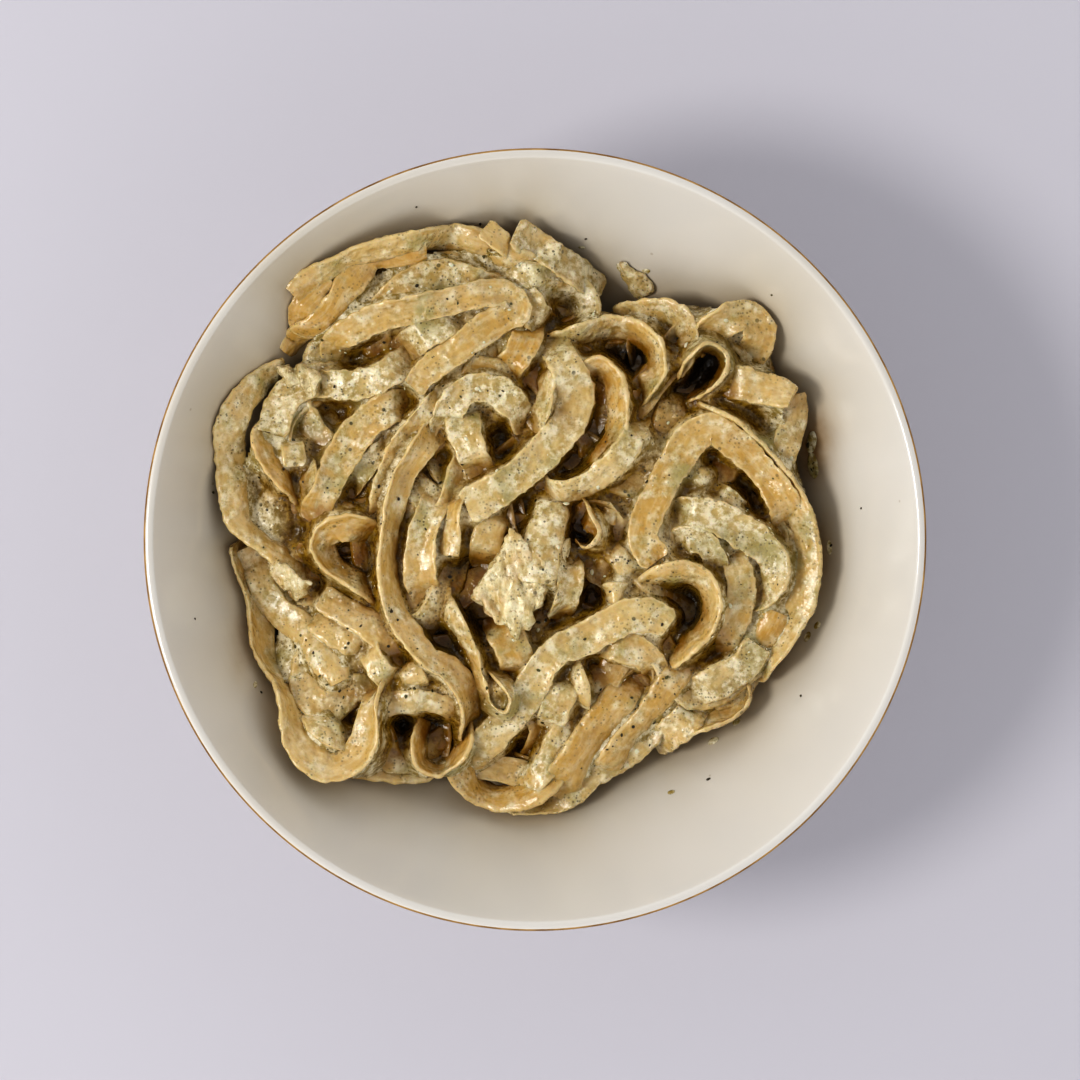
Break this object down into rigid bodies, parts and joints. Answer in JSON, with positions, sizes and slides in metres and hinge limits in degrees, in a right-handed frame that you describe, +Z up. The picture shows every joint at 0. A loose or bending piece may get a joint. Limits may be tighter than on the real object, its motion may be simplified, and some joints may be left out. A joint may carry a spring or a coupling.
{
  "type": "bowl of pesto tagliatelle",
  "caption": "Wide glazed coupe bowl on a low foot, filled with a heap of flat ribbon noodles in herb sauce with pieces of chicken.",
  "frame": {"origin": "on the surface the bowl stands on, under the middle of its foot", "axes": "+Z up along the bowl's axis, +X to the right and +Y away, as the bowl is looked down on"},
  "size_m": [0.196, 0.196, 0.056],
  "materials": {
    "ivory_glaze": "glossy ivory glaze on fired stoneware, with a thin gilt line on the outer edge of the lip",
    "cooked_noodle": "moist cooked egg noodle coated with a pale green-grey herb and cheese sauce",
    "cooked_chicken": "moist fibrous cooked chicken with a little sauce"
  },
  "bodies": {
    "root": {"bowl": "ivory_glaze", "tagliatelle": "cooked_noodle", "noodle_scrap": "cooked_noodle", "chicken_chunk": "cooked_chicken", "chicken_strip_upper": "cooked_chicken", "chicken_strip_lower": "cooked_chicken", "chicken_bit": "cooked_chicken"}
  },
  "joints": []
}
